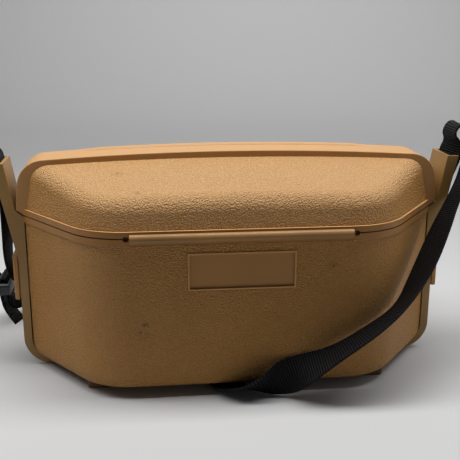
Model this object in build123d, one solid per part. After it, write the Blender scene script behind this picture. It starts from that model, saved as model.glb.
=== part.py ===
from build123d import *
import os
from math import atan2, cos, degrees, pi, radians, sin, tan

os.makedirs("parts", exist_ok=True)

# Moulded camera case: a tub and a lid joined along the front by a web that folds, a channel-shaped
# carry frame round both ends and under the base, and a webbing strap that hangs from its ears.
# Millimetres. X runs along the case, -Y is the front, Z is up and 0 is the surface it stands on.

# Case outline, seen from above
half_w = 155.0           # half width over the flat ends
half_d = 87.0            # half depth at the rims
corner_x = half_w - 51.8  # where the front face and a slanted side would meet
corner_r = 49.0          # radius of that corner
end_half = 16.7          # half depth of the flat ends, and of the band and the frame that cover them
case_base = 6.4          # height of the underside above the ground
seam_z = 120.0           # height of the parting plane
base_draft = 3.0         # how much nearer the middle the front stands at the base
side_draft = 1.7         # the same for where the front and the slanted side would meet
base_r = 9.0             # rounding under the walls
end_r = 15.0             # rounding between the base and the flat ends

# Walls and rims
wall = 3.0
floor_t = 3.0
floor_bevel = 4.0        # bevel inside the tub, between floor and walls
grain_step = 0.8         # the grained walls lie this far inside the smooth rims
rim_h = 5.0
seam_gap = 0.6
lip_t = 1.4              # locating lip of the tub, inside the lid's rim
lip_h = 2.4
lip_gap = 0.4

# Lid
roof_z = seam_z + 41.6   # the slopes where they meet the band, on the middle line
front_z = seam_z + 25.5  # the slopes where they would meet the front wall
roof_sag = 2.0e-4        # crown across the width, fall = sag * x * x
lid_lean = 0.16          # lean of the lid's walls, run over rise
shoulder_r = 14.0
lid_wall = 2.8
slope_back = end_half - 3.7       # the slopes run in under the band as far as this depth
band_rise = 4.9          # the band stands this far above the slopes
band_sag = 2.4e-4
band_half_w = half_w + 5.6
band_lean = 0.1
band_foot = 4.1          # the band's ends rise outwards by this over the frame's ledges
band_r = 20.0
band_edge_r = 0.9
land_half = half_w - 40.0   # low land along the rear of the band
land_h = 0.9
land_front = 8.0
land_margin = 1.2
land_ramp = 16.0
land_bevel = 0.8

# Hinge along the front
hinge_half = 76.7
bead_r = 3.3
bead_t = 1.2
notch_r = 2.0
notch_off = 0.6          # between the web's end and the relief
notch_deep = 3.2

# Name panel, left bare
panel_half = 36.5
panel_low = seam_z - 37.5
panel_high = seam_z - 12.8
panel_deep = 1.1
panel_border = 1.6
panel_proud = 0.55

# Carry frame
frame_gap = 0.15         # between the frame and the case
web_t = 2.4
flange_t = 2.4
flange_x = half_w + 6.2  # outer edge of the flanges beside the tub
flange_bend_z = seam_z - 35.0    # from here up the flanges lean outwards
frame_low = 0.5
frame_mid_low = case_base - 3.0   # between the corners the flanges end higher, and the strap passes under
frame_mid_x = half_w - 35.0
frame_ramp = 8.0
frame_corner_r = 22.0
ledge_gap = 0.7
ear_gap = 0.7            # between the band and the ears
ear_top_z = seam_z + 39.3
ear_in_x = half_w + 12.7
ear_out_x = half_w + 21.4

# Strap bridges
bridge_low = seam_z - 66.0
bridge_high = seam_z - 30.0
bridge_gap = 0.15        # over the flanges at the bridge's top
bridge_t = 3.5
bridge_half = 16.3
bridge_r = 1.4
slot_low = bridge_low + 10.0
slot_high = bridge_low + 18.0
leg_t = 1.3
leg_gap = 0.1
leg_short = 2.0          # the legs end this far inside the bridge's two ends
lock_t = 1.2
lock_margin = 4.0
stake_t = 1.3
stake_over = 0.7
lock_over = 0.3         # the lock plates reach this far past the stakes

# Strap
strap_w = 25.0
strap_t = 1.6
strap_side_gap = 0.4

# Feet and rivets
foot_x = corner_x - 1.5
foot_y = half_d - 30.5
foot_len = 19.0
foot_wide = 13.5
foot_taper = 1.2
foot_r = 3.0
foot_rise = 2.0          # the feet follow the rounding up to here over the base
stem_r = 3.0
stem_head_r = 4.4
head_h = 1.1             # heads of stems and rivets inside the tub
press_gap = 0.04
belt_rivet_x = (60.0, 100.0)
rivet_r = 1.9
rivet_head_r = 3.8
head_room = 0.8          # beside heads that sit in the foam

# Foam
foam_gap = 0.4
pad_t = 7.0
liner_t = 5.0
liner_top = seam_z - 4.0
divider_x = 62.0
divider_t = 6.0
divider_top = seam_z - 16.0
divider_dip = 12.0
divider_dip_half = 30.0
dip_r = 8.0
board_r = 3.0
board_top_r = 2.4
cross_top = seam_z - 24.0
lid_pad_t = 6.0
lid_pad_low = seam_z + 7.0
lid_pad_half = half_w - 16.0      # half width of its flat middle

# Latch on the rear wall
boss_half = 29.0
boss_low = seam_z - 44.0
boss_high = seam_z - 8.0
boss_deep = 6.0
boss_r = 4.0
boss_bevel = 2.5
base_half_w = 26.5
base_low = boss_low + 3.0
base_high = boss_high - 3.0
base_t = 1.6
knuckle_t = 2.4
knuckle_r = 2.6
pin_y = half_d + 3.0
pin_z = seam_z - 32.0
pin_r = 1.5
turn_gap = 0.06
lever_gap = 0.4
lever_half = 18.0
lever_t = 2.0
lever_r = 3.0            # corners of lever and base
grip_ribs = 4
grip_pitch = 4.0
grip_r = 0.8
grip_sunk = 0.3
hook_t = 2.0
hook_gap = 0.3
hook_side = 3.0          # the hook is this much shorter at each side
hook_reach = 2.2         # how far the shut hook lies over the keeper
keeper_half = 14.0
keeper_low = seam_z + 1.2
keeper_high = seam_z + 5.2
keeper_out = 2.0
latch_rivet_x = base_half_w - 4.0
latch_rivet_z = base_high - 6.0
latch_head_r = 3.0

# Slider of the strap
slider_low = 57.0
slider_high = 66.5
slider_half = 16.5
slider_t = 1.4           # bars of the slider
slider_gap = 0.15
slider_end_gap = 1.1
slider_r = 2.5
slider_edge_r = 0.5
slider_in_x = 172.05     # where the strap goes up through it
slider_out_x = 177.0     # where its end comes down through it

# Route of the strap, from the sewn end at the right bridge to the free end at the left one:
# x, y, z, the direction of its width, and the radius where it goes tightly round a bar or folds back
strap_route = [
    (162.5, 0, 106, 0, -1, 0, None),
    (162.4, 0, 100, 0, -1, 0, None),
    (167.6, 0, 92, 0, -1, 0, None),
    (167.0, 0, 68.4, 0, -1, 0, 3.45),
    (160.0, 0, 68.4, 0, -1, 0, 3.45),
    (160.1, 0, 110, 0, -1, 0, None),
    (168.2, 0, 129, 0.05, -1, 0, None),
    (173.3, 0, 146, 0.2, -0.97, 0, None),
    (176.2, 0, 159.5, 0.40, -0.9, 0, None),
    (177.8, 0, 167.5, 0.2, -0.97, 0, None),
    (173.0, 0, 175, 0, -1, 0, None),
    (178.5, 0, 183.8, 0, -1, 0, None),
    (188.5, -3, 177, 0, -1, 0.1, None),
    (187.5, -14, 161, 0.1, -0.95, 0.3, None),
    (179.0, -25, 146, 0.05, -0.95, 0.3, None),
    (167.8, -31, 126, 0.05, -0.96, 0.26, None),
    (156.5, -39.6, 106.5, 0.28, -0.93, 0.25, None),
    (138.5, -60.5, 83.5, 0.34, -0.9, 0.28, None),
    (116.5, -86.5, 66.0, -0.1, -0.97, 0.25, None),
    (89.5, -99.0, 51.5, 0, -1, 0.1, None),
    (64.2, -99.5, 35.7, 0, -1, 0, None),
    (46.0, -96.0, 24.3, 0, -0.82, -0.5, None),
    (33.0, -91.5, 16.7, 0.05, -0.3, -0.95, None),
    (23.0, -91.0, 12.8, 0.03, 0.2, -0.97, None),
    (13.0, -92.0, 9.8, 0.0, 0.66, -0.74, None),
    (3.5, -89.5, 6.7, 0.08, 0.87, -0.48, None),
    (-5.0, -81.0, 3.6, 0.4, 0.88, -0.2, None),
    (-10.5, -66, 1.6, 0.9, 0.43, -0.03, None),
    (-12.0, -38, 1.3, 0.98, 0.18, 0, None),
    (-15.5, -4, 1.2, 0.97, 0.25, 0, None),
    (-26, 32, 1.2, 0.95, 0.3, 0, None),
    (-48, 76, 1.2, 0.86, 0.5, 0, None),
    (-82, 106, 1.2, 0.5, 0.86, 0, None),
    (-120, 114, 1.5, 0, 1, 0, None),
    (-154, 106, 7.5, -0.45, 0.88, 0, None),
    (-181, 85, 24, -0.78, 0.6, -0.1, None),
    (-198, 55, 60, -0.6, 0.7, 0.4, None),
    (-202, 27, 104, -0.3, 0.85, 0.43, None),
    (-200, 7, 138, -0.05, 0.95, 0.3, None),
    (-195, 0, 157, 0, 1, 0, None),
    (-187.5, 0, 167.5, 0, 1, 0, None),
    (-178.0, 0, 169.5, 0, 1, 0, None),
    (-171.0, 0, 163, 0, 1, 0, None),
    (-172.2, 0, 149, 0, 1, 0, None),
    (-170.3, 0, 131, 0.18, 1, 0, None),
    (-169.7, 0, 112, 0.22, 1, 0, None),
    (-171.9, 0, 84, 0.06, 1, 0, None),
    (-168.3, 0, 68.3, 0, 1, 0, 2.4),
    (-160.0, 0, 67.0, 0, 1, 0, 2.4),
    (-160.1, 0, 46, 0, 1, 0, 5.5),
    (-172.0, 0, 46, 0, 1, 0, 5.5),
    (-172.1, 0, 69.4, 0, 1, 0, 2.35),
    (-177.0, 0, 69.4, 0, 1, 0, 2.35),
    (-177.0, -1, 54, 0, 1, 0, None),
    (-174.0, -3, 43, -0.1, 0.97, 0.1, None),
    (-165.0, -6, 32.5, -0.2, 0.95, 0.2, None),
]
strap_turn_step = 12.0   # degrees of turn between two sections
strap_run_step = 15.0    # and the length between them where it runs straight
strap_tip = 6.0          # the free end is rounded over this length


def slab(low, high):
    """Wide block between two heights."""
    return Pos(0, 0, low) * Box(500, 500, high - low, align=(Align.CENTER, Align.CENTER, Align.MIN))


def block(x0, x1, y0, y1, z0, z1):
    """Box between two corners."""
    return Pos(x0, y0, z0) * Box(x1 - x0, y1 - y0, z1 - z0, align=(Align.MIN, Align.MIN, Align.MIN))


def rod_x(x0, x1, y, z, r):
    """Cylinder along X."""
    return Pos(x0, y, z) * Rot(0, 90, 0) * Cylinder(r, x1 - x0, align=(Align.CENTER, Align.CENTER, Align.MIN))


def rod_y(x, y0, y1, z, r):
    """Cylinder along Y."""
    return Pos(x, y1, z) * Rot(90, 0, 0) * Cylinder(r, y1 - y0, align=(Align.CENTER, Align.CENTER, Align.MIN))


def rod_z(x, y, z0, z1, r):
    """Cylinder along Z."""
    return Pos(x, y, z0) * Cylinder(r, z1 - z0, align=(Align.CENTER, Align.CENTER, Align.MIN))


def both_sides(piece):
    """A piece and its mirror image across the middle of the width."""
    return piece + mirror(piece, about=Plane.YZ)


def all_corners(piece):
    """A piece and its mirror images in all four quarters."""
    pair = both_sides(piece)
    return pair + mirror(pair, about=Plane.XZ)


def edges_at(solid, z):
    """Edges that lie at one height."""
    return [e for e in solid.edges() if all(abs(v.Z - z) < 0.01 for v in e.vertices())]


def front_outline(points):
    """Closed outline in the plane of the width, from (x, z) points."""
    return Plane.XZ * make_face(Polyline(*points, close=True))


def along_y(face, y0, y1):
    """Solid from a front outline, between two depths."""
    return Pos(0, y1, 0) * extrude(face, y1 - y0, dir=(0, -1, 0))


# Tub and its liners share one family of plans

def case_plan(z, inset=0.0):
    """Plan of the case at a height, flat front, slanted sides and flat ends, moved in by inset."""
    drop = (seam_z - z) / (seam_z - case_base)
    depth = half_d - base_draft * drop
    corner = corner_x - side_draft * drop
    slant = atan2(depth - end_half, half_w - corner)
    x1 = half_w - inset
    y1 = end_half - inset * tan((pi / 2 - slant) / 2)
    x2 = corner - inset * tan(slant / 2)
    y2 = depth - inset
    right = [(x1, -y1), (x1, y1), (x2, y2)]
    left = [(-x2, y2), (-x1, y1), (-x1, -y1), (-x2, -y2)]
    outline = make_face(Polyline(*right, *left, (x2, -y2), close=True))
    corners = [v for v in outline.vertices() if abs(v.X) < x2 + 0.5]
    return Pos(0, 0, z) * fillet(corners, corner_r - inset)


def tub(inset, low, high):
    """Solid inside the drafted walls between two heights."""
    return loft([case_plan(low, inset), case_plan(high, inset)], ruled=True)


def round_ends(solid, inset, low):
    """The solid with the corners between its base, at low, and its flat ends rounded."""
    x = half_w - inset
    face = front_outline([(-x, low), (x, low), (x, seam_z + 1), (-x, seam_z + 1)])
    corners = [v for v in face.vertices() if v.Z < low + 1]
    return solid & along_y(fillet(corners, end_r - inset), -half_d, half_d)


def prism(inset, low, high):
    """Upright solid on the plan of the rims."""
    plan = Pos(0, 0, low - seam_z) * case_plan(seam_z, inset)
    return extrude(plan, high - low)


def wall_y(z):
    """Depth of the grained front wall at a height."""
    return half_d - grain_step - base_draft * (seam_z - z) / (seam_z - case_base)


def panel_plate(margin, low, high):
    """Plate at the name panel, from low to high out of the drafted front wall."""
    mid_z = (panel_low + panel_high) / 2
    tilt = degrees(atan2(base_draft, seam_z - case_base))
    plate = Box(
        2 * (panel_half + margin), high - low, panel_high - panel_low + 2 * margin,
        align=(Align.CENTER, Align.MAX, Align.CENTER))
    return Pos(0, -wall_y(mid_z), mid_z) * Rot(tilt, 0, 0) * Pos(0, -low, 0) * plate


def hinge_notches():
    """Round reliefs that end the hinge's web."""
    x = hinge_half + notch_off + notch_r
    return both_sides(rod_y(x, -half_d - 1, -half_d + notch_deep, seam_z, notch_r))


def leg_slots(gap):
    """Openings for the legs of both bridges, through the frame's web and the tub's ends."""
    leg_out = end_half - flange_t - leg_gap
    slot = block(
        half_w - 20, half_w + 20, leg_out - leg_t - gap, leg_out + gap,
        bridge_low + leg_short - gap, bridge_high - leg_short + gap)
    return all_corners(slot)


def foot_places():
    """Middle of each foot, seen from above."""
    return [(sx * foot_x, sy * foot_y) for sy in (-1, 1) for sx in (-1, 1)]


def belt_rivet_places():
    """Rivets under the case, left to right."""
    return [-x for x in reversed(belt_rivet_x)] + list(belt_rivet_x)


def floor_holes(extra):
    """Holes for the stems of the feet and the belt's rivets, with some extra radius."""
    holes = [rod_z(x, y, -5, case_base + 20, stem_r + extra) for x, y in foot_places()]
    holes += [rod_z(x, 0, -5, case_base + 20, rivet_r + extra) for x in belt_rivet_places()]
    return Part() + holes


def latch_boss():
    """Flat upright seat for the latch on the drafted rear wall."""
    seat = block(-boss_half, boss_half, half_d - boss_deep, half_d, boss_low, boss_high)
    seat = fillet(seat.edges().filter_by(Axis.Y), boss_r)
    return chamfer(edges_low_front(seat), boss_bevel)


def edges_low_front(seat):
    """Lower outer edge of the latch seat."""
    outer = seat.faces().sort_by(Axis.Y)[-1]
    return outer.edges().sort_by(Axis.Z)[0]


def tub_outside():
    """Outer form of the tub under its rim."""
    outer = tub(grain_step, case_base, seam_z - rim_h + 1)
    outer = fillet(edges_at(outer, case_base), base_r)
    return round_ends(outer, grain_step, case_base)


def body_shell():
    """Tub: drafted walls, smooth rim, locating lip, bare panel and latch seat."""
    outer = tub_outside() + prism(0, seam_z - rim_h, seam_z)
    outer += latch_boss()
    outer += panel_plate(panel_border, -2.0, panel_proud)
    outer -= panel_plate(0, -panel_deep, 3.0)
    inner = grain_step + wall
    hollow = tub(inner, case_base + floor_t, seam_z)
    hollow = chamfer(edges_at(hollow, case_base + floor_t), floor_bevel)
    hollow = round_ends(hollow, inner, case_base + floor_t)
    lip = prism(inner - lip_t, seam_z - 2, seam_z + lip_h)
    shell = outer + lip - hollow - prism(inner, seam_z - 1, seam_z + lip_h + 1)
    shell -= hinge_notches() + leg_slots(leg_gap) + floor_holes(press_gap)
    for x in (-latch_rivet_x, latch_rivet_x):
        shell -= rod_y(x, half_d - 12, half_d + 1, latch_rivet_z, rivet_r + press_gap)
    return shell


# Lid

def slope_plan(z, inset):
    """Plan of the lid's front half at a height, with leaning walls."""
    grow = grain_step + inset + lid_lean * (z - seam_z)
    slant = atan2(half_d - end_half, half_w - corner_x)
    x2 = corner_x - grow * tan(slant / 2)
    y2 = half_d - grow
    x1 = x2 + (y2 - slope_back) / tan(slant)
    outline = make_face(Polyline((-x1, -slope_back), (-x2, -y2), (x2, -y2), (x1, -slope_back), close=True))
    corners = [v for v in outline.vertices() if abs(v.X) < x2 + 0.5]
    return Pos(0, 0, z) * fillet(corners, corner_r - grow)


def crown_section(y, top, sag):
    """Section across the width with a crowned top, for the roof at one depth."""
    x = half_w + 25
    low = seam_z - 5
    edge_z = top - sag * x * x
    arch = ThreePointArc((-x, edge_z), (0, top), (x, edge_z))
    rest = Polyline((x, edge_z), (x, low), (-x, low), (-x, edge_z))
    return Pos(0, y, 0) * (Plane.XZ * make_face([arch, rest]))


def front_slope(inset, drop, rounding=0.0):
    """Front half of the lid under its slope, with the shoulder rounded."""
    top = roof_z + 20
    walls = loft([slope_plan(seam_z, inset), slope_plan(top, inset)], ruled=True)
    fall = (roof_z - front_z) / (half_d - end_half)
    far = half_d + 8
    far_z = roof_z - drop - (far - end_half) * fall
    roof = loft([
        crown_section(-far, far_z, roof_sag),
        crown_section(-end_half, roof_z - drop, roof_sag)], ruled=True)
    roof += along_y(Pos(0, end_half, 0) * crown_section(-end_half, roof_z - drop, roof_sag), -end_half, 0)
    solid = walls & roof
    if rounding > 0:
        shoulder = [
            e for e in solid.edges()
            if all(v.Z > front_z - 15 for v in e.vertices()) and min(v.Y for v in e.vertices()) < -end_half - 1]
        solid = fillet(shoulder, rounding)
    return solid


def band_face(inset):
    """Front outline of the band that runs over the lid, moved in by inset."""
    top = roof_z + band_rise - inset
    side_foot = seam_z + seam_gap + band_foot
    foot_x0 = half_w + frame_gap - inset
    side_x = band_half_w - inset
    high = top + 10
    high_x = side_x - band_lean * (high - side_foot)
    points = [
        (-foot_x0, seam_z + seam_gap), (foot_x0, seam_z + seam_gap), (side_x, side_foot),
        (high_x, high), (-high_x, high), (-side_x, side_foot)]
    sides = front_outline(points)
    face = sides & crown_section(0, top, band_sag)
    corners = [v for v in face.vertices() if v.Z > seam_z + 20]
    return fillet(corners, band_r - inset)


def land():
    """Low raised land along the rear of the band."""
    face = crown_section(0, roof_z + band_rise + land_h, band_sag)
    foot_z = roof_z + band_rise - band_sag * land_half ** 2 - 0.1
    ramp_z = foot_z + land_h
    high = roof_z + 20
    flat_x = land_half - land_ramp
    right = [(land_half, roof_z - 5), (land_half, foot_z), (flat_x, ramp_z + 1), (flat_x, high)]
    left = [(-x, z) for x, z in reversed(right)]
    raised = along_y(face & front_outline(right + left), land_front, end_half - land_margin)
    front_edge = raised.edges().filter_by(lambda e: e.center().Y < land_front + 0.01 and e.center().Z > ramp_z)
    return chamfer(front_edge.sort_by(Axis.Z)[-1], land_bevel)


def keeper():
    """Ledge on the lid's rear rim that the latch hooks over, ramped below."""
    root = half_d - 1
    tip = half_d + keeper_out
    profile = Plane.YZ * make_face(Polyline(
        (root, keeper_low), (tip - 0.8, keeper_low + 1.2), (tip, keeper_high - 0.8),
        (tip, keeper_high), (root, keeper_high), close=True))
    return Pos(-keeper_half, 0, 0) * extrude(profile, 2 * keeper_half, dir=(1, 0, 0))


def lid_shell():
    """Lid: two grained slopes, the band over the middle, the rim and the latch's keeper."""
    low = seam_z + seam_gap
    front = front_slope(0, 0, shoulder_r)
    band = along_y(band_face(0), -end_half, end_half)
    rims = [e for e in band.edges() if abs(abs(e.center().Y) - end_half) < 0.01 and e.center().Z > low + 5]
    band = fillet(rims, band_edge_r)
    solid = front + mirror(front, about=Plane.XZ) + band + prism(0, low, seam_z + rim_h)
    solid += land() + keeper()
    rebate = grain_step + wall - lip_t - lip_gap
    hollow = front_slope(lid_wall, lid_wall)
    hollow += mirror(hollow, about=Plane.XZ)
    hollow += along_y(band_face(lid_wall), -end_half + lid_wall, end_half - lid_wall)
    hollow &= slab(low - 1, roof_z + 30)
    solid -= hollow + prism(rebate, low - 1, seam_z + lip_h + lip_gap)
    return solid & slab(low, roof_z + 30) - hinge_notches()


# Hinge

def living_hinge():
    """Half-round web folded out between the two rims."""
    ring = Circle(bead_r) - Circle(bead_r - bead_t)
    half = ring & Pos(-bead_r, 0) * Rectangle(2 * bead_r, 3 * bead_r)
    profile = Pos(-hinge_half, -half_d, seam_z) * (Plane.YZ * half)
    return extrude(profile, 2 * hinge_half, dir=(1, 0, 0))


# Carry frame

def frame_inner():
    """Region inside the frame, beside and under the tub and between the ears."""
    x0 = half_w + frame_gap
    ledge_in = seam_z - ledge_gap
    ear_x = band_half_w + ear_gap
    lean = (ear_in_x - ear_x) / (ear_top_z - ledge_in - band_foot)
    high = ear_top_z + 15
    high_x = ear_x + lean * (high - ledge_in - band_foot)
    right = [(x0, case_base - frame_gap), (x0, ledge_in), (ear_x, ledge_in + band_foot), (high_x, high)]
    left = [(-x, z) for x, z in reversed(right)]
    face = front_outline(right + left)
    corners = [v for v in face.vertices() if v.Z < case_base]
    return fillet(corners, end_r)


def frame_outer():
    """Region inside the outer edges of the flanges."""
    ramp_x = frame_mid_x + frame_ramp
    right = [
        (frame_mid_x, frame_mid_low), (ramp_x, frame_low), (flange_x, frame_low),
        (flange_x, flange_bend_z), (ear_out_x, ear_top_z)]
    left = [(-x, z) for x, z in reversed(right)]
    face = front_outline(right + left)
    corners = [v for v in face.vertices() if abs(v.X) > flange_x - 1 and v.Z < frame_low + 1]
    return fillet(corners, frame_corner_r)


def carry_frame():
    """Channel round the ends and the base, open outwards, ending in two leaning ears."""
    inner = frame_inner()
    frame = along_y(frame_outer() - inner, -end_half, end_half)
    frame -= along_y(frame_outer_room() - offset(inner, web_t), -end_half + flange_t, end_half - flange_t)
    frame -= leg_slots(leg_gap) + floor_holes(press_gap)
    return frame


def frame_outer_room():
    """Wide region that the channel is cut from."""
    x = ear_out_x + 40
    return front_outline([(-x, -30), (x, -30), (x, ear_top_z + 5), (-x, ear_top_z + 5)])


# Strap bridges and their locks

def bridge_x():
    """Inner face of a bridge, just clear of the leaning flanges at its top."""
    lean = (ear_out_x - flange_x) / (ear_top_z - flange_bend_z)
    return flange_x + lean * (bridge_high - flange_bend_z) + bridge_gap


def strap_bridge():
    """Right bridge: a slotted plate over the channel, on two legs that are staked inside the tub."""
    x0 = bridge_x()
    plate = block(x0, x0 + bridge_t, -bridge_half, bridge_half, bridge_low, bridge_high)
    outer = plate.faces().sort_by(Axis.X)[-1].edges()
    plate = fillet(outer, bridge_r)
    slot = strap_w / 2 + strap_side_gap
    plate -= block(x0 - 1, x0 + bridge_t + 1, -slot, slot, slot_low, slot_high)
    leg_out = end_half - flange_t - leg_gap
    inside = half_w - grain_step - wall - lock_t - stake_t
    low = bridge_low + leg_short
    high = bridge_high - leg_short
    leg = block(inside, x0 + 0.5, leg_out - leg_t, leg_out, low, high)
    stake = block(
        inside, inside + stake_t, leg_out - leg_t - stake_over, leg_out + stake_over,
        low - stake_over, high + stake_over)
    legs = leg + stake
    return plate + legs + mirror(legs, about=Plane.XZ)


def bridge_lock():
    """Plate inside the tub that the right bridge's legs are staked over."""
    face_x = half_w - grain_step - wall
    reach = end_half - flange_t - leg_gap + stake_over + lock_over
    reach_z = lock_margin - leg_short
    plate = block(face_x - lock_t, face_x, -reach, reach, bridge_low - reach_z, bridge_high + reach_z)
    plate = fillet(plate.edges().filter_by(Axis.X), 2.0)
    return plate - leg_slots(leg_gap / 2)


# Feet and rivets

def foot():
    """Rear right foot: tapered, its top following the tub, with a stem through the floor."""
    grow = foot_taper
    top = Pos(foot_x, foot_y, case_base + foot_rise) * RectangleRounded(foot_len, foot_wide, foot_r)
    low = Pos(foot_x, foot_y, 0) * RectangleRounded(foot_len - grow, foot_wide - grow, foot_r - grow / 2)
    pad = loft([low, top], ruled=True) - tub_outside()
    stem_top = case_base + floor_t
    stem = rod_z(foot_x, foot_y, case_base - 1, stem_top + head_h, stem_r)
    return pad + stem + rod_z(foot_x, foot_y, stem_top, stem_top + head_h, stem_head_r)


def rivet(x):
    """Rivet through the frame's web and the tub's floor."""
    top = case_base + floor_t
    low = case_base - frame_gap - web_t
    shank = rod_z(x, 0, low - head_h, top + head_h, rivet_r)
    return shank + rod_z(x, 0, low - head_h, low, rivet_head_r) + rod_z(x, 0, top, top + head_h, rivet_head_r)


# Foam

def floor_pad():
    """Foam pad on the floor, with room for the heads."""
    inset = grain_step + wall + foam_gap
    low = case_base + floor_t
    pad = tub(inset, low, low + pad_t)
    pad = round_ends(chamfer(edges_at(pad, low), floor_bevel), inset, low)
    for x, y in foot_places():
        pad -= rod_z(x, y, low - 1, low + pad_t + 1, stem_head_r + head_room)
    for x in belt_rivet_places():
        pad -= rod_z(x, 0, low - 1, low + pad_t + 1, rivet_head_r + head_room)
    return pad


def wall_liner():
    """Foam ring against the walls, thinned over the bridge locks."""
    inset = grain_step + wall + foam_gap
    low = case_base + floor_t + pad_t + foam_gap
    inside = inset + liner_t
    ring = round_ends(tub(inset, low, liner_top), inset, case_base + floor_t + foam_gap)
    ring -= round_ends(tub(inside, low - 1, liner_top + 1), inside, case_base + floor_t + foam_gap + liner_t)
    lock_x = half_w - grain_step - wall - lock_t - stake_t - foam_gap
    room = block(
        lock_x, half_w, -end_half - 1, end_half + 1,
        bridge_low - lock_margin, bridge_high + lock_margin)
    ring -= both_sides(room)
    rear = latch_head_in() - head_h - foam_gap
    for x in (-latch_rivet_x, latch_rivet_x):
        ring -= rod_y(x, rear, half_d, latch_rivet_z, latch_head_r + head_room)
    return ring


def divider():
    """Right divider, a foam board across the case with a dip in its top."""
    low = case_base + floor_t + pad_t + foam_gap
    reach = wall_y(low) - wall - foam_gap - liner_t - foam_gap
    board = block(
        divider_x - divider_t / 2, divider_x + divider_t / 2, -reach, reach, low, divider_top)
    dip = Pos(0, 0, divider_top) * Rot(0, 90, 0) * RectangleRounded(2 * divider_dip, 2 * divider_dip_half, dip_r)
    board -= Pos(divider_x - divider_t, 0, 0) * extrude(dip, 2 * divider_t, dir=(1, 0, 0))
    corners = [e for e in board.edges().filter_by(Axis.X) if e.center().Z > divider_top - 1]
    return fillet(corners, board_r)


def divider_cross():
    """Short divider across the left compartment."""
    low = case_base + floor_t + pad_t + foam_gap
    inset = grain_step + wall + foam_gap + liner_t + foam_gap
    x1 = -divider_x - divider_t / 2 - foam_gap
    board = block(-half_w + inset, x1, -divider_t / 2, divider_t / 2, low, cross_top)
    board = fillet(edges_at(board, cross_top), board_top_r)
    return round_ends(board, inset, case_base + inset - grain_step)


def lid_pad():
    """Moulded foam under the lid's slopes."""
    upper = front_slope(lid_wall + foam_gap, lid_wall + foam_gap)
    lower = front_slope(lid_wall + foam_gap + lid_pad_t, lid_wall + foam_gap + lid_pad_t)
    half = upper & slab(lid_pad_low, roof_z + 10)
    half -= lower
    middle_face = crown_section(0, roof_z - lid_wall - foam_gap, roof_sag)
    under_face = crown_section(0, roof_z - lid_wall - foam_gap - lid_pad_t, roof_sag)
    middle = along_y(middle_face - under_face, -slope_back, slope_back)
    middle &= block(-lid_pad_half, lid_pad_half, -slope_back, slope_back, lid_pad_low, roof_z + 10)
    return half + mirror(half, about=Plane.XZ) + middle


# Latch

def latch_base():
    """Plate with two knuckles that carry the lever's pin, open where the lever turns."""
    plate = block(-base_half_w, base_half_w, half_d, half_d + base_t, base_low, base_high)
    plate = fillet(plate.edges().filter_by(Axis.Y), lever_r)
    inner = lever_half + lever_gap
    plate -= block(-inner, inner, half_d - 1, half_d + base_t + 1, base_low - 1, pin_z + knuckle_r + lever_gap)
    knuckle = rod_x(inner, inner + knuckle_t, pin_y, pin_z, knuckle_r)
    web = block(
        inner, inner + knuckle_t, half_d + base_t / 2, pin_y, pin_z - knuckle_r, pin_z + knuckle_r)
    plate += both_sides(knuckle + web)
    plate &= block(-base_half_w, base_half_w, half_d, pin_y + 10, base_low, base_high)
    plate -= rod_x(-base_half_w - 5, base_half_w + 5, pin_y, pin_z, pin_r + press_gap)
    for x in (-latch_rivet_x, latch_rivet_x):
        plate -= rod_y(x, half_d - 1, half_d + base_t + 1, latch_rivet_z, rivet_r + press_gap)
    return plate


def latch_pin():
    """Steel pin of the latch's lever."""
    reach = lever_half + lever_gap + knuckle_t + 0.6
    return rod_x(-reach, reach, pin_y, pin_z, pin_r)


def latch_head_in():
    """Depth of the inner heads of the latch's rivets, clear of the drafted wall."""
    return wall_y(latch_rivet_z - latch_head_r) - wall - 0.1


def latch_rivet(x):
    """Rivet through the latch base and the rear wall."""
    inside = latch_head_in()
    outside = half_d + base_t
    shank = rod_y(x, inside - head_h, outside + head_h, latch_rivet_z, rivet_r)
    inner_head = rod_y(x, inside - head_h, inside, latch_rivet_z, latch_head_r)
    return shank + inner_head + rod_y(x, outside, outside + head_h, latch_rivet_z, latch_head_r)


def latch_lever():
    """Lever shown hanging open; turned up by half a turn its hook lies over the keeper."""
    shut_in = half_d + keeper_out + lever_gap
    y1 = 2 * pin_y - shut_in
    hook_far = keeper_high + hook_gap - pin_z
    tip_y = 2 * pin_y - (half_d + keeper_out - hook_reach)
    plate = block(-lever_half, lever_half, y1 - lever_t, y1, pin_z - hook_far - hook_t, pin_z)
    plate = fillet(plate.edges().filter_by(Axis.Y).group_by(Axis.Z)[0], lever_r)
    hook_half = lever_half - hook_side
    hook = block(-hook_half, hook_half, y1 - 0.5, tip_y, pin_z - hook_far - hook_t, pin_z - hook_far)
    lever = plate + hook + rod_x(-lever_half, lever_half, pin_y, pin_z, knuckle_r)
    back = y1 - lever_t + grip_sunk
    grip_half = lever_half - grip_pitch
    for i in range(grip_ribs):
        lever += rod_x(-grip_half, grip_half, back, pin_z - hook_far + grip_pitch * (i + 1), grip_r)
    return lever - rod_x(-lever_half - 1, lever_half + 1, pin_y, pin_z, pin_r + turn_gap)


# Strap

def turn_radius(before, here, after):
    """Largest radius that the two runs beside a point allow."""
    run_in = here - before
    run_out = after - here
    return 0.45 * min(run_in.length, run_out.length) / tan(radians(run_in.get_angle(run_out)) / 2)


def strap_radii(points):
    """Radius at each inner point of the route."""
    radii = []
    for i in range(1, len(points) - 1):
        radii.append(strap_route[i][6] or turn_radius(*points[i - 1:i + 2]))
    return radii


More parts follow.
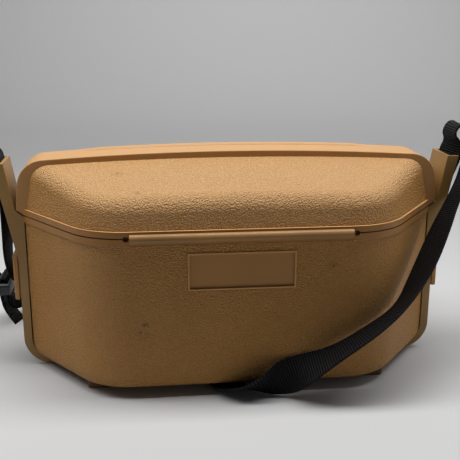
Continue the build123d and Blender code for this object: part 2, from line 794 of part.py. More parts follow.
def strap_path():
    """Middle line of the strap, and how far along it each point of the route is passed."""
    points = [Vector(*entry[:3]) for entry in strap_route]
    radii = strap_radii(points)
    print("strap radii", [round(r, 1) for r in radii])
    path = FilletPolyline(*points, radius=radii)
    passed = [0.0]
    along = 0.0
    for edge in path.edges():
        if edge.geom_type == GeomType.CIRCLE:
            passed.append(along + edge.length / 2)
        along += edge.length
    return path, passed + [along]


def strap_places(path):
    """Points along the middle line with their directions and their distance from its start."""
    places = []
    along = 0.0
    for edge in path.edges():
        steps = 1 + int(edge.length / strap_run_step)
        if edge.geom_type == GeomType.CIRCLE:
            steps = 1 + int((edge % 0).get_angle(edge % 1) / strap_turn_step)
        places += [(edge @ (i / steps), edge % (i / steps), along + edge.length * i / steps) for i in range(steps)]
        along += edge.length
    last = path.edges()[-1]
    return places + [(last @ 1, last % 1, along)]


def width_direction(at, passed):
    """Direction of the strap's width at a distance along it."""
    i = 1
    while i < len(passed) - 1 and at > passed[i]:
        i += 1
    share = (at - passed[i - 1]) / (passed[i] - passed[i - 1])
    before = Vector(*strap_route[i - 1][3:6])
    after = Vector(*strap_route[i][3:6])
    return before * (1 - share) + after * share


def strap():
    """One long webbing strap."""
    path, passed = strap_path()
    long = passed[-1]
    sections = []
    for point, forward, at in strap_places(path):
        across = width_direction(at, passed)
        across = across - forward * across.dot(forward)
        wide = strap_w
        if at > long - strap_tip:
            wide = strap_w * (1 - 0.45 * ((at - long + strap_tip) / strap_tip) ** 2)
        sections.append(Plane(origin=point, x_dir=across, z_dir=forward) * Rectangle(wide, strap_t))
    solid = loft(sections, ruled=True)
    print("strap length", round(long, 1), "volume share", round(solid.volume / (long * strap_w * strap_t), 3))
    return solid


def strap_slider():
    """Slider with two slots that the strap's end goes up and down through."""
    x0 = -slider_out_x - strap_t / 2 - slider_gap - slider_t
    x1 = -slider_in_x + strap_t / 2 + slider_gap + slider_t
    body = block(x0, x1, -slider_half, slider_half, slider_low, slider_high)
    body = fillet(body.edges().filter_by(Axis.X), slider_r)
    body = fillet(body.edges().filter_by(Axis.Y), slider_edge_r)
    slot_half = strap_w / 2 + slider_end_gap
    for x in (-slider_in_x, -slider_out_x):
        reach = strap_t / 2 + slider_gap
        body -= block(x - reach, x + reach, -slot_half, slot_half, slider_low - 1, slider_high + 1)
    return body


def save(name, shape):
    """Write one piece."""
    export_step(shape, f"parts/{name}.step")


def mirrored(piece):
    """The left one of a pair."""
    return mirror(piece, about=Plane.YZ)


def build():
    """Make every piece and write it."""
    save("body_shell", body_shell())
    save("lid_shell", lid_shell())
    save("living_hinge", living_hinge())
    save("carry_frame", carry_frame())
    save("strap_bridge_right", strap_bridge())
    save("strap_bridge_left", mirrored(strap_bridge()))
    save("bridge_lock_right", bridge_lock())
    save("bridge_lock_left", mirrored(bridge_lock()))
    rear_foot = foot()
    front_foot = mirror(rear_foot, about=Plane.XZ)
    save("foot_rear_right", rear_foot)
    save("foot_rear_left", mirrored(rear_foot))
    save("foot_front_right", front_foot)
    save("foot_front_left", mirrored(front_foot))
    save("belt_rivets", Compound([rivet(x) for x in belt_rivet_places()]))
    save("floor_pad", floor_pad())
    save("wall_liner", wall_liner())
    save("divider_right", divider())
    save("divider_left", mirrored(divider()))
    save("divider_cross", divider_cross())
    save("lid_pad", lid_pad())
    save("latch_base", latch_base())
    save("latch_pin", latch_pin())
    save("latch_rivets", Compound([latch_rivet(-latch_rivet_x), latch_rivet(latch_rivet_x)]))
    save("latch_lever", latch_lever())
    save("strap", strap())
    save("strap_slider", strap_slider())


build()
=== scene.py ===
import math

import bpy
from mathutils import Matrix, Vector


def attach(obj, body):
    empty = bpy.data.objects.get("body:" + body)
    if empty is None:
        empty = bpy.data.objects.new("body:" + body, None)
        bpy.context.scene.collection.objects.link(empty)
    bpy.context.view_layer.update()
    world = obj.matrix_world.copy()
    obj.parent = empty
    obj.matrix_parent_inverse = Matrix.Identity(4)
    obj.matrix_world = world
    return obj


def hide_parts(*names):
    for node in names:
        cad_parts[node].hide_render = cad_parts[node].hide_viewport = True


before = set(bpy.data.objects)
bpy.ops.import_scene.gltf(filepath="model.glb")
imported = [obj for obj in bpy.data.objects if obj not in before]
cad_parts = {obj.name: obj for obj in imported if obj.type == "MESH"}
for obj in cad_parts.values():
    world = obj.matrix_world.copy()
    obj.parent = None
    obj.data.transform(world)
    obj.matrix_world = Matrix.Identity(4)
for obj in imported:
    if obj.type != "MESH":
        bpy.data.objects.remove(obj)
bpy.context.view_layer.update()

MM = 0.001

# Lengths are in metres, powers in watts and colours linear, unless a comment says otherwise.


# The camera, where the photograph was taken from. Angles are in degrees.
camera_at = (-0.0662, -0.6037, 0.2721)
camera_yaw = 6.28          # to the right of +Y
camera_pitch = 15.82       # down
camera_roll = -0.14
camera_lens = 62.6         # mm
camera_sensor = 36.0       # mm wide
camera_near = 0.01
camera_far = 50.0


def add_camera():
    data = bpy.data.cameras.new("camera")
    data.lens = camera_lens
    data.sensor_width = camera_sensor
    data.clip_start = camera_near
    data.clip_end = camera_far
    cam = bpy.data.objects.new("camera", data)
    bpy.context.scene.collection.objects.link(cam)
    cam.location = camera_at
    cam.rotation_mode = "XYZ"
    cam.rotation_euler = (
        math.radians(90.0 - camera_pitch),
        math.radians(camera_roll),
        math.radians(-camera_yaw),
    )
    bpy.context.scene.camera = cam


# Node graphs. An argument is a number or colour, or another node's socket to link from.
# A noise pattern is its scale in features for each metre, its detail and its roughness.
# A range is where a smooth step starts and ends, and a bump its strength and depth.

# The colour sockets of a Mix node.
mix_a = 6
mix_b = 7
mix_result = 2


def plug(tree, socket, value):
    """Links the socket to the value if that is another node's, or sets it."""
    if isinstance(value, bpy.types.NodeSocket):
        tree.links.new(value, socket)
    else:
        socket.default_value = value


def add(tree, kind, props=None, **inputs):
    """Adds a shader node. An input goes by its name, or by i and its number."""
    made = tree.nodes.new(kind)
    for key, value in (props or {}).items():
        setattr(made, key, value)
    for key, value in inputs.items():
        if key[0] == "i" and key[1:].isdigit():
            plug(tree, made.inputs[int(key[1:])], value)
        else:
            plug(tree, made.inputs[key.replace("_", " ")], value)
    return made


def calc(tree, operation, a, b=0.0):
    return add(tree, "ShaderNodeMath", {"operation": operation}, i0=a, i1=b).outputs[0]


def plus(tree, a, b):
    return calc(tree, "ADD", a, b)


def minus(tree, a, b):
    return calc(tree, "SUBTRACT", a, b)


def times(tree, a, b):
    return calc(tree, "MULTIPLY", a, b)


def absolute(tree, a):
    return calc(tree, "ABSOLUTE", a)


def largest(tree, sockets):
    found = sockets[0]
    for socket in sockets[1:]:
        found = calc(tree, "MAXIMUM", found, socket)
    return found


def waves(tree, along, pitch):
    return calc(tree, "SINE", times(tree, along, 2 * math.pi / pitch))


def ramp(tree, value, low, high, to_low=0.0, to_high=1.0):
    """A smooth step of value from low to high."""
    made = add(
        tree, "ShaderNodeMapRange", {"interpolation_type": "SMOOTHSTEP"},
        Value=value, From_Min=low, From_Max=high, To_Min=to_low, To_Max=to_high,
    )
    return made.outputs[0]


def fall(tree, value, low, high):
    """A smooth step down, from 1 at low to 0 at high."""
    return ramp(tree, value, low, high, 1.0, 0.0)


def noise(tree, where, pattern, output="Fac"):
    scale, detail, roughness = pattern
    made = add(
        tree, "ShaderNodeTexNoise", None,
        Vector=where, Scale=scale, Detail=detail, Roughness=roughness,
    )
    return made.outputs[output]


def vector(tree, operation, output=0, **inputs):
    made = add(tree, "ShaderNodeVectorMath", {"operation": operation}, **inputs)
    return made.outputs[output]


def split(tree, whole):
    """The three parts of a vector."""
    return list(add(tree, "ShaderNodeSeparateXYZ", None, Vector=whole).outputs)


def stretch(tree, where, scale):
    return add(tree, "ShaderNodeMapping", None, Vector=where, Scale=scale).outputs[0]


def mix(tree, share, a, b):
    """The colour a with a share of the colour b."""
    made = add(tree, "ShaderNodeMix", {"data_type": "RGBA"}, i0=share)
    for at, color in ((mix_a, a), (mix_b, b)):
        plug(tree, made.inputs[at], (*color, 1.0) if isinstance(color, tuple) else color)
    return made.outputs[mix_result]


def shade(color, share):
    """The colour, that many times as bright."""
    return tuple(share * c for c in color)


def new_material(name, metallic=0.0):
    mat = bpy.data.materials.new(name)
    mat.use_nodes = True
    tree = mat.node_tree
    shader = tree.nodes["Principled BSDF"]
    shader.inputs["Metallic"].default_value = metallic
    where = add(tree, "ShaderNodeTexCoord").outputs["Object"]
    return mat, tree, shader, where


def finish_material(tree, shader, color, roughness, height, bump):
    strength, depth = bump
    plug(tree, shader.inputs["Base Color"], color)
    plug(tree, shader.inputs["Roughness"], roughness)
    bumped = add(
        tree, "ShaderNodeBump", None, Height=height, Strength=strength, Distance=depth)
    plug(tree, shader.inputs["Normal"], bumped.outputs[0])


# The tan plastic of the body and the lid.
tan = (0.48, 0.236, 0.058)
tan_deep = (0.30, 0.130, 0.026)
# painted light: a lighter tan for faces that look up, for the lid's band and for the front
# panel's rim
tan_lit = (0.60, 0.345, 0.142)
grime = (0.060, 0.029, 0.011)
# painted shade in the seam between the lid and the body
seam_shade = (0.010, 0.006, 0.003)
patch_bright = 0.92
patch_noise = (16.0, 4.0, 0.55)
patch_range = (0.32, 0.68)

# How much a place takes of its second colour.
rim_deep = 0.88            # polished rims
band_lit = 0.60          # painted highlight on the lid's band, on its sides too, and less of it on its top than on the slopes
band_deep = 0.36           # and its top less than the slopes
panel_rim_lit = 0.30
panel_field_deep = 0.60
crease_shade = 0.35
seam_shade_share = 0.90
scuff_share = 0.75

# Faces that look up are painted lighter, painted light from above: a range of the upward
# part of the normal.
top_light_range = (0.15, 0.75)

# Places on the shells.
mould_edge = 0.0002        # half the step from a polished part to a grained one
body_rim_z = 0.1150        # the body is polished above this,
lid_rim_z = 0.1252         # the lid below this
band_half_y = 0.0169       # and as far as this from its middle
panel_half_x = 0.0365      # the front panel, left bare
panel_half_z = 0.01235
panel_mid_z = 0.09485
panel_rim = 0.0013
panel_edge = 0.0001
panel_ends_y = (-0.08, -0.079)           # it is only in front of this
seam_low_z = (0.11968, 0.11980)          # painted shade along the seam starts here
seam_high_z = (0.1204, 0.1207)           # and ends here

# Scuffs, each with its centre and radius.
body_scuffs = [
    ((-0.0690, -0.0855, 0.0500), 0.006),
    ((-0.0680, -0.0855, 0.0570), 0.005),
    ((0.0635, -0.0865, 0.0970), 0.004),
]
lid_scuffs = [
    ((-0.085, -0.040, 0.157), 0.006),
    ((-0.070, -0.070, 0.146), 0.005),
]
spot_noise = (240.0, 4.0, 0.6)
spot_uneven = 0.9          # in radii, as are the next two
spot_full = 0.55
spot_end = 1.45
speck_noise = (420.0, 5.0, 0.7)
speck_range = (0.42, 0.62)

# The moulded leather grain.
pebble_scale = 850.0
pebble_smoothness = 0.10
swirl_noise = (560.0, 2.0, 0.5)
swirl_reach = 0.0010       # how far the swirl bends the pebbles
pore_noise = (1200.0, 3.0, 0.6)
pore_height = 0.45         # against the pebbles
crease_range = (0.62, 0.88)
grain_bump = (1.0, 0.00115)

# Gloss of the shells.
shell_specular = 0.38
shell_roughness = (0.40, 0.54)
dust_noise = (2600.0, 2.0, 0.5)
patch_dull = 0.6
dust_dull = 0.4
dull_range = (0.3, 0.7)


def leather_grain(tree, where):
    """Height of moulded leather grain: small uneven pebbles with creases between them."""
    swirl = noise(tree, where, swirl_noise, "Color")
    shift = vector(tree, "SCALE", i0=swirl, Scale=swirl_reach)
    bent = vector(tree, "ADD", i0=where, i1=shift)
    pebble = add(
        tree, "ShaderNodeTexVoronoi", {"feature": "SMOOTH_F1"},
        Vector=bent, Scale=pebble_scale, Smoothness=pebble_smoothness,
    )
    pores = times(tree, noise(tree, where, pore_noise), pore_height)
    return plus(tree, minus(tree, 1.0, pebble.outputs["Distance"]), pores)


def soft_spot(tree, where, centre, radius):
    """1 at centre, falling to 0 at about the radius, with an uneven edge."""
    away = vector(tree, "DISTANCE", "Value", i0=where, i1=centre)
    uneven = times(tree, noise(tree, where, spot_noise), radius * spot_uneven)
    return fall(tree, plus(tree, away, uneven), radius * spot_full, radius * spot_end)


def scuffed(tree, where, color, scuffs):
    """The colour with specks of grime at the scuffs."""
    marks = largest(tree, [soft_spot(tree, where, *scuff) for scuff in scuffs])
    specks = ramp(tree, noise(tree, where, speck_noise), *speck_range)
    return mix(tree, times(tree, times(tree, marks, specks), scuff_share), color, grime)


def lit_from_above(tree, color):
    """The colour, with painted light from above where the surface looks up."""
    up = split(tree, add(tree, "ShaderNodeTexCoord").outputs["Normal"])[2]
    return mix(tree, ramp(tree, up, *top_light_range), color, tan_lit)


def outside_panel(tree, place, margin):
    """1 away from the front panel with a margin round it, 0 on it."""
    x, y, z = place
    over_x = minus(tree, absolute(tree, x), panel_half_x + margin)
    over_z = minus(tree, absolute(tree, minus(tree, z, panel_mid_z)), panel_half_z + margin)
    beside = ramp(tree, largest(tree, [over_x, over_z]), -panel_edge, panel_edge)
    return largest(tree, [ramp(tree, y, *panel_ends_y), beside])


def shell_material(name, scuffs, lid):
    """Tan plastic with leather grain, and smooth rims where the mould is polished.

    The lid has its rim below and a smooth band over the middle. The body has its rim
    above and the front panel.
    """
    mat, tree, shader, where = new_material(name)
    place = split(tree, where)
    y, z = place[1:]
    if lid:
        off_rim = ramp(tree, z, lid_rim_z - mould_edge, lid_rim_z + mould_edge)
        band_end = band_half_y + 2 * mould_edge
        off_part = ramp(tree, absolute(tree, y), band_half_y, band_end)
    else:
        off_rim = fall(tree, z, body_rim_z - mould_edge, body_rim_z + mould_edge)
        off_part = outside_panel(tree, place, panel_rim)
    grained = times(tree, off_rim, off_part)
    grain = leather_grain(tree, where)

    patches = noise(tree, where, patch_noise)
    color = mix(tree, ramp(tree, patches, *patch_range), tan, shade(tan, patch_bright))
    color = mix(tree, times(tree, minus(tree, 1.0, off_rim), rim_deep), color, tan_deep)
    if lid:
        on_band = minus(tree, 1.0, off_part)
        # Painted highlight on the lid's band.
        color = mix(tree, times(tree, on_band, band_lit), color, tan_lit)
        # Painted light from above on the faces that look up.
        color = lit_from_above(tree, color)
        color = mix(tree, times(tree, on_band, band_deep), color, tan_deep)
    else:
        off_field = outside_panel(tree, place, 0.0)
        on_rim = minus(tree, off_field, off_part)
        on_field = minus(tree, 1.0, off_field)
        color = lit_from_above(tree, color)
        # Painted highlight on the raised rim round the front panel.
        color = mix(tree, times(tree, on_rim, panel_rim_lit), color, tan_lit)
        color = mix(tree, times(tree, on_field, panel_field_deep), color, tan_deep)
    # Painted shade in the creases of the grain.
    crease_shading = times(tree, fall(tree, grain, *crease_range), grained)
    color = mix(tree, times(tree, crease_shading, crease_shade), color, tan_deep)
    # Painted shade in the seam between the lid and the body.
    seam_shaded = times(tree, ramp(tree, z, *seam_low_z), fall(tree, z, *seam_high_z))
    color = mix(tree, times(tree, seam_shaded, seam_shade_share), color, seam_shade)
    color = scuffed(tree, where, color, scuffs)

    dust = noise(tree, where, dust_noise)
    dull = plus(tree, times(tree, patches, patch_dull), times(tree, dust, dust_dull))
    rough = ramp(tree, dull, *dull_range, *shell_roughness)
    shader.inputs["Specular IOR Level"].default_value = shell_specular
    finish_material(tree, shader, color, rough, times(tree, grain, grained), grain_bump)
    return mat


# The smooth plastics.
olive_tan = (0.36, 0.205, 0.056)
olive_deep = (0.28, 0.155, 0.040)
hinge_light = shade(tan, 0.64)
hinge_dark = shade(tan, 0.53)
lock_light = (0.05,) * 3
lock_dark = (0.03,) * 3
foot_light = (0.15, 0.075, 0.03)
foot_dark = (0.09, 0.047, 0.02)
slider_light = (0.016, 0.016, 0.018)
slider_dark = (0.009, 0.009, 0.010)
mottle_noise = (22.0, 5.0, 0.6)
mottle_range = (0.3, 0.72)
flow_lines = (180.0, 1500.0, 1500.0)     # scales of the scratches, which run along x
scratch_noise = (1.0, 2.0, 0.5)
scratch_range = (0.3, 0.7)
scratch_smoother = 0.06
scratch_rougher = 0.08
scratch_height = 0.25      # against the ripples
ripple_noise = (700.0, 2.0, 0.5)
plastic_bump = (0.12, 0.00015)


def smooth_plastic(name, light, dark, roughness):
    """Polished moulded plastic with faint mottling, flow lines and fine scratches."""
    mat, tree, shader, where = new_material(name)
    mottled = ramp(tree, noise(tree, where, mottle_noise), *mottle_range)
    scratches = noise(tree, stretch(tree, where, flow_lines), scratch_noise)
    ripples = noise(tree, where, ripple_noise)
    rough = ramp(
        tree, scratches, *scratch_range,
        roughness - scratch_smoother, roughness + scratch_rougher,
    )
    height = plus(tree, times(tree, scratches, scratch_height), ripples)
    color = mix(tree, mottled, light, dark)
    finish_material(tree, shader, color, rough, height, plastic_bump)
    return mat


# The steel, with the scales of its brushing along x, y and z. It runs along x.
rivet_steel = (0.36, 0.35, 0.33)
latch_steel = (0.48, 0.47, 0.45)
pin_steel = (0.6, 0.6, 0.6)
unbrushed = (900.0, 900.0, 900.0)
brushed_latch = (60.0, 3000.0, 3000.0)
brushed_pin = (60.0, 2500.0, 2500.0)
brush_noise = (1.0, 4.0, 0.6)
brush_range = (0.25, 0.75)
brush_smoother = 0.08
brush_rougher = 0.12
tarnish_noise = (60.0, 5.0, 0.55)
tarnish_range = (0.3, 0.75)
tarnish_bright = 0.9
steel_bump = (0.2, 0.0001)


def steel(name, base, roughness, brushing):
    """Brushed steel, a little tarnished."""
    mat, tree, shader, where = new_material(name, metallic=1.0)
    brushed = noise(tree, stretch(tree, where, brushing), brush_noise)
    tarnish = ramp(tree, noise(tree, where, tarnish_noise), *tarnish_range)
    rough = ramp(
        tree, brushed, *brush_range, roughness - brush_smoother, roughness + brush_rougher)
    color = mix(tree, tarnish, base, shade(base, tarnish_bright))
    finish_material(tree, shader, color, rough, brushed, steel_bump)
    return mat


# The black nylon webbing.
web_gap_shade = (0.0006, 0.0006, 0.0009)
web_crest_highlight = (0.024, 0.022, 0.023)
web_worn = (0.010, 0.009, 0.009)
web_roughness = 0.62
web_specular = 0.12
web_bump = (1.0, 0.0005)
web_range = (0.35, 0.8)    # of the height, from painted shade in the gaps to painted highlight on the crests
rib_pitch = 0.0019
rib_height = 0.5
yarn_pitch = 0.0021
yarn_height = 0.12
web_fuzz_noise = (1500.0, 3.0, 0.5)
web_fuzz_height = 0.4
worn_noise = (35.0, 4.0, 0.6)
worn_range = (0.5, 0.8)
worn_share = 0.3


def webbing_material():
    """The strap's UV map is in metres, across and along."""
    mat, tree, shader, where = new_material("webbing")
    across, along = split(tree, add(tree, "ShaderNodeTexCoord").outputs["UV"])[:2]
    ribs = times(tree, waves(tree, along, rib_pitch), rib_height)
    yarns = times(tree, waves(tree, across, yarn_pitch), yarn_height)
    fuzz = times(tree, noise(tree, where, web_fuzz_noise), web_fuzz_height)
    height = plus(tree, plus(tree, ribs, yarns), fuzz)
    worn = ramp(tree, noise(tree, where, worn_noise), *worn_range)
    # Painted shade between the ribs and painted highlight on their crests, by the height.
    color = mix(tree, ramp(tree, height, *web_range), web_gap_shade, web_crest_highlight)
    color = mix(tree, times(tree, worn, worn_share), color, web_worn)
    shader.inputs["Specular IOR Level"].default_value = web_specular
    finish_material(tree, shader, color, web_roughness, height, web_bump)
    return mat


# The brushed cloth on the foam, rubbed paler in places.
foam_cloth = (0.055, 0.054, 0.056)
cloth_roughness = 0.9
cloth_sheen = 0.25
cloth_bump = (0.5, 0.0004)
weave_pitch = 0.0011
thread_height = 0.2        # against the fuzz
cloth_fuzz_noise = (1800.0, 4.0, 0.7)
fuzz_share = 0.4
fuzz_bright = 0.5
rubbed_noise = (25.0, 4.0, 0.6)
rubbed_range = (0.35, 0.75)
rubbed_bright = 1.5


def cloth_material():
    mat, tree, shader, where = new_material("foam_cloth")
    by_x, by_y, by_z = [waves(tree, axis, weave_pitch) for axis in split(tree, where)]
    threads = plus(tree, times(tree, by_x, by_y), times(tree, by_y, by_z))
    fuzz = noise(tree, where, cloth_fuzz_noise)
    height = plus(tree, times(tree, threads, thread_height), fuzz)
    rubbed = ramp(tree, noise(tree, where, rubbed_noise), *rubbed_range)
    color = mix(tree, rubbed, foam_cloth, shade(foam_cloth, rubbed_bright))
    color = mix(tree, times(tree, fuzz, fuzz_share), color, shade(foam_cloth, fuzz_bright))
    shader.inputs["Sheen Weight"].default_value = cloth_sheen
    finish_material(tree, shader, color, cloth_roughness, height, cloth_bump)
    return mat


# The strap. Each place is x, y and z in mm and the direction of the webbing's width, from
# the sewn end at the right bridge to the free end below the slider at the left one.
strap_width = 0.025
strap_thick = 0.0016
strap_steps = 12           # from one place of the route to the next
strap_order = 3            # of the spline through them
strap_route = [
    (162.5, 0, 106, 0, -1, 0),
    (162.4, 0, 100, 0, -1, 0),
    (167.6, 0, 92, 0, -1, 0),
    (167.2, 0, 75.4, 0, -1, 0),
    (167.0, 0, 68.4, 0, -1, 0),
    (160.0, 0, 68.4, 0, -1, 0),
    (160.0, 0, 75.4, 0, -1, 0),
    (160.1, 0, 110, 0, -1, 0),
    (168.2, 0, 129, 0.05, -1, 0),
    (173.3, 0, 146, 0.2, -0.97, 0),
    (176.2, 0, 159.5, 0.40, -0.9, 0),
    (177.8, 0, 167.5, 0.2, -0.97, 0),
    (173.0, 0, 175, 0, -1, 0),
    (178.5, 0, 183.8, 0, -1, 0),
    (188.5, -3, 177, 0, -1, 0.1),
    (187.5, -14, 161, 0.1, -0.95, 0.3),
    (179.0, -25, 146, 0.05, -0.95, 0.3),
    (167.8, -31, 126, 0.05, -0.96, 0.26),
    (156.5, -39.6, 106.5, 0.28, -0.93, 0.25),
    (138.5, -60.5, 83.5, 0.34, -0.9, 0.28),
    (116.5, -86.5, 66.0, -0.1, -0.97, 0.25),
    (89.5, -99.0, 51.5, 0, -1, 0.1),
    (64.2, -99.5, 35.7, 0, -1, 0),
    (46.0, -96.0, 24.3, 0, -0.82, -0.5),
    (33.0, -91.5, 16.7, 0.05, -0.3, -0.95),
    (23.0, -91.0, 12.8, 0.03, 0.2, -0.97),
    (13.0, -92.0, 9.8, 0.0, 0.66, -0.74),
    (3.5, -89.5, 6.7, 0.08, 0.87, -0.48),
    (-5.0, -81.0, 3.6, 0.4, 0.88, -0.2),
    (-10.5, -66, 1.6, 0.9, 0.43, -0.03),
    (-12.0, -38, 1.3, 0.98, 0.18, 0),
    (-15.5, -4, 1.2, 0.97, 0.25, 0),
    (-26, 32, 1.2, 0.95, 0.3, 0),
    (-48, 76, 1.2, 0.86, 0.5, 0),
    (-82, 106, 1.2, 0.5, 0.86, 0),
    (-120, 114, 1.5, 0, 1, 0),
    (-154, 106, 7.5, -0.45, 0.88, 0),
    (-181, 85, 24, -0.78, 0.6, -0.1),
    (-198, 55, 60, -0.6, 0.7, 0.4),
    (-202, 27, 104, -0.3, 0.85, 0.43),
    (-200, 7, 138, -0.05, 0.95, 0.3),
    (-195, 0, 157, 0, 1, 0),
    (-187.5, 0, 167.5, 0, 1, 0),
    (-178.0, 0, 169.5, 0, 1, 0),
    (-171.0, 0, 163, 0, 1, 0),
    (-172.2, 0, 149, 0, 1, 0),
    (-170.3, 0, 131, 0.18, 1, 0),
    (-169.7, 0, 112, 0.22, 1, 0),
    (-171.9, 0, 84, 0.06, 1, 0),
    (-168.3, 0, 68.3, 0, 1, 0),
    (-160.0, 0, 67.0, 0, 1, 0),
    (-160.0, 0, 58.6, 0, 1, 0),
    (-160.1, 0, 46, 0, 1, 0),
    (-172.0, 0, 46, 0, 1, 0),
    (-172.1, 0, 64.5, 0, 1, 0),
    (-172.1, 0, 69.4, 0, 1, 0),
    (-177.0, 0, 69.4, 0, 1, 0),
    (-177.0, -0.3, 64.5, 0, 1, 0),
    (-177.0, -1, 54, 0, 1, 0),
    (-174.0, -3, 43, -0.1, 0.97, 0.1),
    (-165.0, -6, 32.5, -0.2, 0.95, 0.2),
]

# The webbing's section is flat, with rounder woven edges. Its heights are in halves of the
# thickness. A place near the edge is how far it is in from there, and its height.
strap_edge = [(0.0, 0.0), (0.00025, 0.8), (0.0009, 1.08), (0.0018, 0.86)]
strap_flat = (0.45, 0.92)  # in halves of the width from the middle, and its height
strap_middle = 0.95        # height


def spline_points(points):
    """Points along the smooth NURBS spline with these control points."""
    curve = bpy.data.curves.new("line", "CURVE")
    curve.dimensions = "3D"
    curve.resolution_u = strap_steps
    spline = curve.splines.new("NURBS")
    spline.points.add(len(points) - 1)
    for made, place in zip(spline.points, points):
        made.co = (*place, 1.0)
    spline.order_u = strap_order
    spline.use_endpoint_u = True
    line = bpy.data.objects.new("line", curve)
    bpy.context.scene.collection.objects.link(line)
    mesh = bpy.data.meshes.new_from_object(line)
    found = [v.co.copy() for v in mesh.vertices]
    bpy.data.objects.remove(line)
    return found


def webbing_outline():
    """The webbing's section, across and up, once round."""
    half = strap_width / 2
    top = strap_thick / 2
    left = [(-half + inset, top * high) for inset, high in strap_edge]
    left.append((-half * strap_flat[0], top * strap_flat[1]))
    right = [(-across, up) for across, up in reversed(left)]
    upper = left + [(0.0, top * strap_middle)] + right
    return upper + [(across, -up) for across, up in reversed(upper[1:-1])]


def mesh_object(name, verts, faces):
    mesh = bpy.data.meshes.new(name)
    mesh.from_pydata(verts, [], faces)
    mesh.update()
    mesh.shade_smooth()
    made = bpy.data.objects.new(name, mesh)
    bpy.context.scene.collection.objects.link(made)
    return made


def add_strap():
    places = spline_points([Vector(p[:3]) * MM for p in strap_route])
    widths = spline_points([Vector(p[3:]) for p in strap_route])
    outline = webbing_outline()
    ring = len(outline)
    last = len(places) - 1
    verts, run = [], [0.0]
    for i, place in enumerate(places):
        forward = (places[min(i + 1, last)] - places[max(i - 1, 0)]).normalized()
        across = (widths[i] - forward * widths[i].dot(forward)).normalized()
        up = forward.cross(across)
        if i:
            run.append(run[-1] + (place - places[i - 1]).length)
        verts += [place + across * a + up * u for a, u in outline]
    faces = []
    for i in range(last):
        here, there = i * ring, (i + 1) * ring
        for k in range(ring):
            n = (k + 1) % ring
            faces.append((here + k, here + n, there + n, there + k))
    faces.append(tuple(range(ring))[::-1])
    faces.append(tuple(last * ring + k for k in range(ring)))
    strap = mesh_object("webbing_strap", verts, faces)
    layer = strap.data.uv_layers.new(name="UVMap")
    for loop in strap.data.loops:
        i, k = divmod(loop.vertex_index, ring)
        layer.data[loop.index].uv = (outline[k][0], run[i])
    strap.data.materials.append(webbing_material())
    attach(strap, "case")
    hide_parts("strap")


# The paper sweep: a floor that curves up into the backdrop, seen along y and z.
floor_front = -3.0
wall_foot = 1.25           # y where the floor starts to curve up
wall_curve = 0.55          # radius
wall_top = 2.2
curve_steps = 16
stage_half = 3.5           # half the width
# The paper is darker towards the front: painted shade, which also bounces less light onto
# the case.
paper_shaded_near = (0.35,) * 3
paper_far = (0.515,) * 3
paper_turn = (-0.55, -0.18)              # the range of y between the two
paper_roughness = 0.85
paper_specular = 0.2
paper_bump = (0.05, 0.0002)
fibre_noise = (400.0, 3.0, 0.5)


def add_stage():
    profile = [(floor_front, 0.0), (wall_foot, 0.0)]
    for i in range(1, curve_steps + 1):
        a = math.pi / 2 * i / curve_steps
        up = wall_curve * (1 - math.cos(a))
        profile.append((wall_foot + wall_curve * math.sin(a), up))
    profile.append((wall_foot + wall_curve, wall_top))
    verts, faces = [], []
    for y, z in profile:
        verts += [(-stage_half, y, z), (stage_half, y, z)]
    for i in range(len(profile) - 1):
        faces.append((2 * i, 2 * i + 1, 2 * i + 3, 2 * i + 2))
    sweep = mesh_object("backdrop", verts, faces)
    mat, tree, shader, where = new_material("backdrop_paper")
    y = split(tree, where)[1]
    color = mix(tree, ramp(tree, y, *paper_turn), paper_shaded_near, paper_far)
    fibres = noise(tree, where, fibre_noise)
    shader.inputs["Specular IOR Level"].default_value = paper_specular
    finish_material(tree, shader, color, paper_roughness, fibres, paper_bump)
    sweep.data.materials.append(mat)


# Lights: name, place, what it is aimed at, width, height and power.
lights = [
    ("overhead", (-0.12, -0.03, 0.95), (-0.12, -0.03, 0.0), 2.0, 0.3, 17.2),
    ("backdrop_light", (0.3, 0.9, 1.7), (0.4, 1.8, 1.6), 1.4, 0.5, 34.5),
    ("right_window", (1.2, 0.1, 0.45), (0.1, 0.0, 0.05), 0.9, 0.7, 2.0),
    ("right_fill", (0.8, -1.0, 0.36), (0.1, -0.05, 0.05), 0.8, 0.4, 0.5),
    ("left_window", (-1.1, 0.1, 0.8), (-0.1, 0.0, 0.05), 0.9, 0.8, 1.5),
]
room_color = (0.5, 0.5, 0.52, 1.0)
room_strength = 0.06


def add_light(name, at, aim, size, size_y, power):
    data = bpy.data.lights.new(name, "AREA")
    data.shape = "RECTANGLE"
    data.size = size
    data.size_y = size_y
    data.energy = power
    lamp = bpy.data.objects.new(name, data)
    lamp.location = at
    lamp.rotation_euler = (Vector(aim) - Vector(at)).to_track_quat("-Z", "Y").to_euler()
    lamp.visible_camera = False
    bpy.context.scene.collection.objects.link(lamp)


def add_lights():
    for light in lights:
        add_light(*light)
    world = bpy.data.worlds.new("room")
    world.use_nodes = True
    background = world.node_tree.nodes["Background"]
    background.inputs["Color"].default_value = room_color
    background.inputs["Strength"].default_value = room_strength
    bpy.context.scene.world = world
    bpy.context.scene.view_settings.view_transform = "Standard"


# The foam pieces: CAD node, name of the soft form, size of its voxels and rounds of easing.
foam_pieces = [
    ("floor_pad", "floor_foam", 0.0022, 2),
    ("wall_liner", "wall_foam", 0.0018, 2),
    ("divider_left", "divider_foam_left", 0.0018, 3),
    ("divider_right", "divider_foam_right", 0.0018, 3),
    ("divider_cross", "divider_foam_cross", 0.0018, 3),
    ("lid_pad", "lid_foam", 0.0022, 3),
]
foam_ease = 0.5            # strength of one round


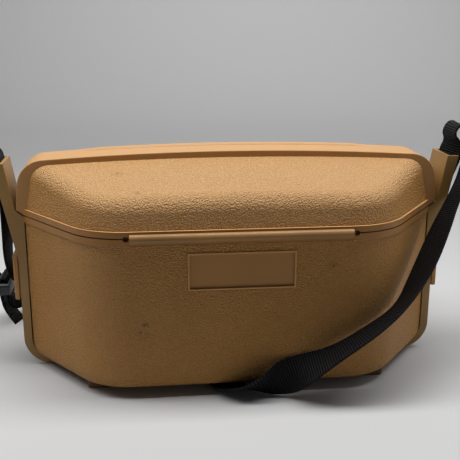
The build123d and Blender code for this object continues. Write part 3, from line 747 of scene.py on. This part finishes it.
def soft_copy(node, name, voxel, rounds, material):
    """A soft form of a foam piece, with eased edges, in the space of its CAD solid."""
    made = bpy.data.objects.new(name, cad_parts[node].data.copy())
    bpy.context.scene.collection.objects.link(made)
    remesh = made.modifiers.new("remesh", "REMESH")
    remesh.mode = "VOXEL"
    remesh.voxel_size = voxel
    smooth = made.modifiers.new("smooth", "SMOOTH")
    smooth.factor = foam_ease
    smooth.iterations = rounds
    graph = bpy.context.evaluated_depsgraph_get()
    mesh = bpy.data.meshes.new_from_object(made.evaluated_get(graph))
    made.modifiers.clear()
    made.data = mesh
    mesh.materials.clear()
    mesh.materials.append(material)
    mesh.shade_smooth()
    body = "lid" if node == "lid_pad" else "case"
    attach(made, body)
    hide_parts(node)


def add_foam():
    cloth = cloth_material()
    for node, name, voxel, rounds in foam_pieces:
        soft_copy(node, name, voxel, rounds, cloth)


# Pieces of smooth plastic: CAD nodes, name, light and dark colour, and roughness.
plastic_pieces = [
    (["living_hinge"], "hinge_plastic", hinge_light, hinge_dark, 0.44),
    (["carry_frame"], "frame_plastic", olive_tan, olive_deep, 0.4),
    (["strap_bridge_left", "strap_bridge_right"], "bridge_plastic", tan, tan_deep, 0.42),
    (["bridge_lock_left", "bridge_lock_right"], "lock_plastic", lock_light, lock_dark, 0.42),
    (
        ["foot_front_left", "foot_front_right", "foot_rear_left", "foot_rear_right"],
        "foot_plastic", foot_light, foot_dark, 0.55,
    ),
    (["strap_slider"], "slider_plastic", slider_light, slider_dark, 0.38),
]

# Pieces of steel: CAD nodes, name, colour, roughness and brushing.
steel_pieces = [
    (["belt_rivets", "latch_rivets"], "rivet_steel", rivet_steel, 0.30, unbrushed),
    (["latch_base", "latch_lever"], "latch_steel", latch_steel, 0.36, brushed_latch),
    (["latch_pin"], "pin_steel", pin_steel, 0.25, brushed_pin),
]


def dress(nodes, material):
    for node in nodes:
        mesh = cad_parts[node].data
        mesh.materials.clear()
        mesh.materials.append(material)


def add_materials():
    dress(["body_shell"], shell_material("body_plastic", body_scuffs, lid=False))
    dress(["lid_shell"], shell_material("lid_plastic", lid_scuffs, lid=True))
    for nodes, name, light, dark, roughness in plastic_pieces:
        dress(nodes, smooth_plastic(name, light, dark, roughness))
    for nodes, name, base, roughness, brushing in steel_pieces:
        dress(nodes, steel(name, base, roughness, brushing))


add_camera()
add_strap()
add_stage()
add_lights()
add_materials()
add_foam()
